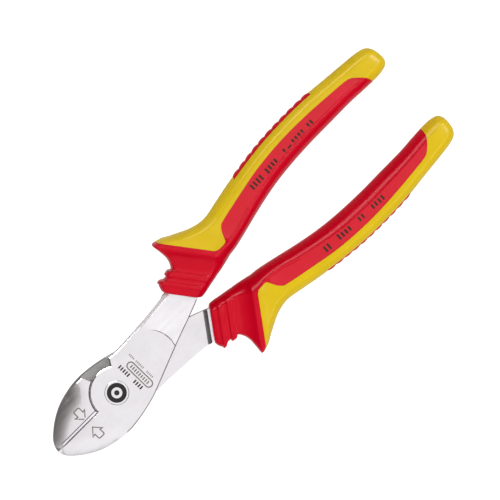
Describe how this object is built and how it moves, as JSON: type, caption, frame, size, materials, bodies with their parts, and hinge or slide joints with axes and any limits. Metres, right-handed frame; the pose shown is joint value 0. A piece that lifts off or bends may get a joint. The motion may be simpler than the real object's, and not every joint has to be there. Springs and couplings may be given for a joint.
{
  "type": "diagonal cutting pliers",
  "caption": "Heavy-duty diagonal cutting pliers: two forged levers lap at a riveted joint behind short convex jaws, with guarded two-colour insulating grips on the handles.",
  "frame": {"origin": "on the pivot axis, in the plane of the joint's flush rear face", "axes": "+X along the tool's centreline from the pivot to the grips' ends, +Y across the handles towards the front half's handle, +Z along the pivot axis to the front face; stored closed"},
  "size_m": [0.18, 0.0544, 0.0192],
  "materials": {
    "forged_steel": "satin chrome-plated forged steel",
    "rivet_steel": "ground flush",
    "red_plastic": "moulded, satin gloss",
    "yellow_plastic": "moulded, satin gloss"
  },
  "bodies": {
    "back_half": {"back_lever": "forged_steel", "pivot_rivet": "rivet_steel", "back_grip_core": "yellow_plastic", "back_grip_overmould": "red_plastic", "back_grip_rib_inlay": "red_plastic"},
    "front_half": {"front_lever": "forged_steel", "front_grip_core": "yellow_plastic", "front_grip_overmould": "red_plastic", "front_grip_rib_inlay": "red_plastic"}
  },
  "joints": [
    {"name": "pivot_hinge", "type": "hinge", "parent": "back_half", "child": "front_half", "pos_m": [0, 0, 0.0055], "axis": [0, 0, 1], "range_deg": [0, 52]}
  ]
}
